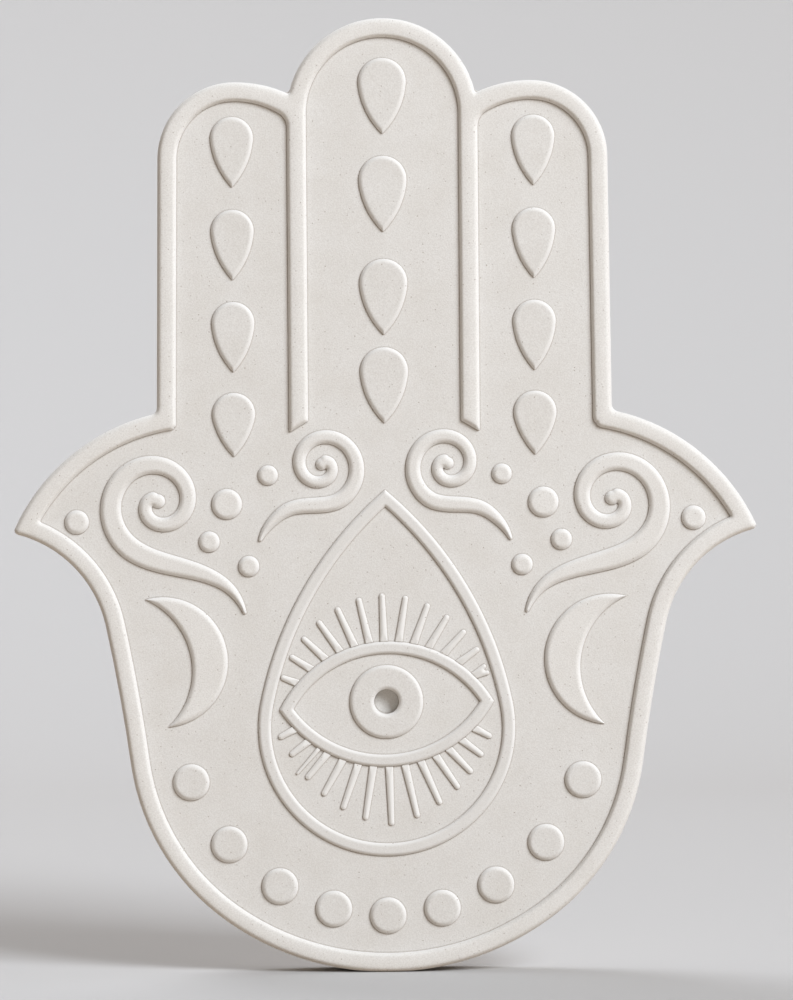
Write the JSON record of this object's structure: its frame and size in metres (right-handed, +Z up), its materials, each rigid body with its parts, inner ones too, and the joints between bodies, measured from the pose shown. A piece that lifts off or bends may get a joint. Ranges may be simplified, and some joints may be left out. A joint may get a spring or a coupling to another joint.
{
  "type": "hamsa hand wall plaque",
  "caption": "Hand-shaped white unglazed ceramic wall plaque with raised rims, drops, scrolls, moons and a lashed eye with a drilled pupil; hangs from a keyhole in its back.",
  "frame": {"origin": "centre of the hanging keyhole's round hole, on the back face that lies on the wall", "axes": "+Z up towards the fingertips, +X to the viewer's right, +Y into the wall, so the front faces -Y"},
  "size_m": [0.1166, 0.009, 0.15],
  "materials": {
    "bisque": "matte unglazed warm white"
  },
  "bodies": {
    "root": {"crescent_left": "bisque", "crescent_right": "bisque", "disc_left_1": "bisque", "disc_left_2": "bisque", "disc_left_3": "bisque", "disc_left_4": "bisque", "disc_middle": "bisque", "disc_right_1": "bisque", "disc_right_2": "bisque", "disc_right_3": "bisque", "disc_right_4": "bisque", "drop_left_1": "bisque", "drop_left_2": "bisque", "drop_left_3": "bisque", "drop_left_4": "bisque", "drop_middle_1": "bisque", "drop_middle_2": "bisque", "drop_middle_3": "bisque", "drop_middle_4": "bisque", "drop_right_1": "bisque", "drop_right_2": "bisque", "drop_right_3": "bisque", "drop_right_4": "bisque", "eye_frame": "bisque", "hand_slab": "bisque", "iris": "bisque", "lashes_lower": "bisque", "lashes_upper": "bisque", "lid_lower": "bisque", "lid_upper": "bisque", "rim_left": "bisque", "rim_middle": "bisque", "rim_palm": "bisque", "rim_right": "bisque", "scroll_big_left": "bisque", "scroll_big_right": "bisque", "scroll_small_left": "bisque", "scroll_small_right": "bisque", "stud_high_left": "bisque", "stud_high_right": "bisque", "stud_large_left": "bisque", "stud_large_right": "bisque", "stud_low_left": "bisque", "stud_low_right": "bisque", "stud_middle_left": "bisque", "stud_middle_right": "bisque", "stud_thumb_left": "bisque", "stud_thumb_right": "bisque"}
  },
  "joints": []
}
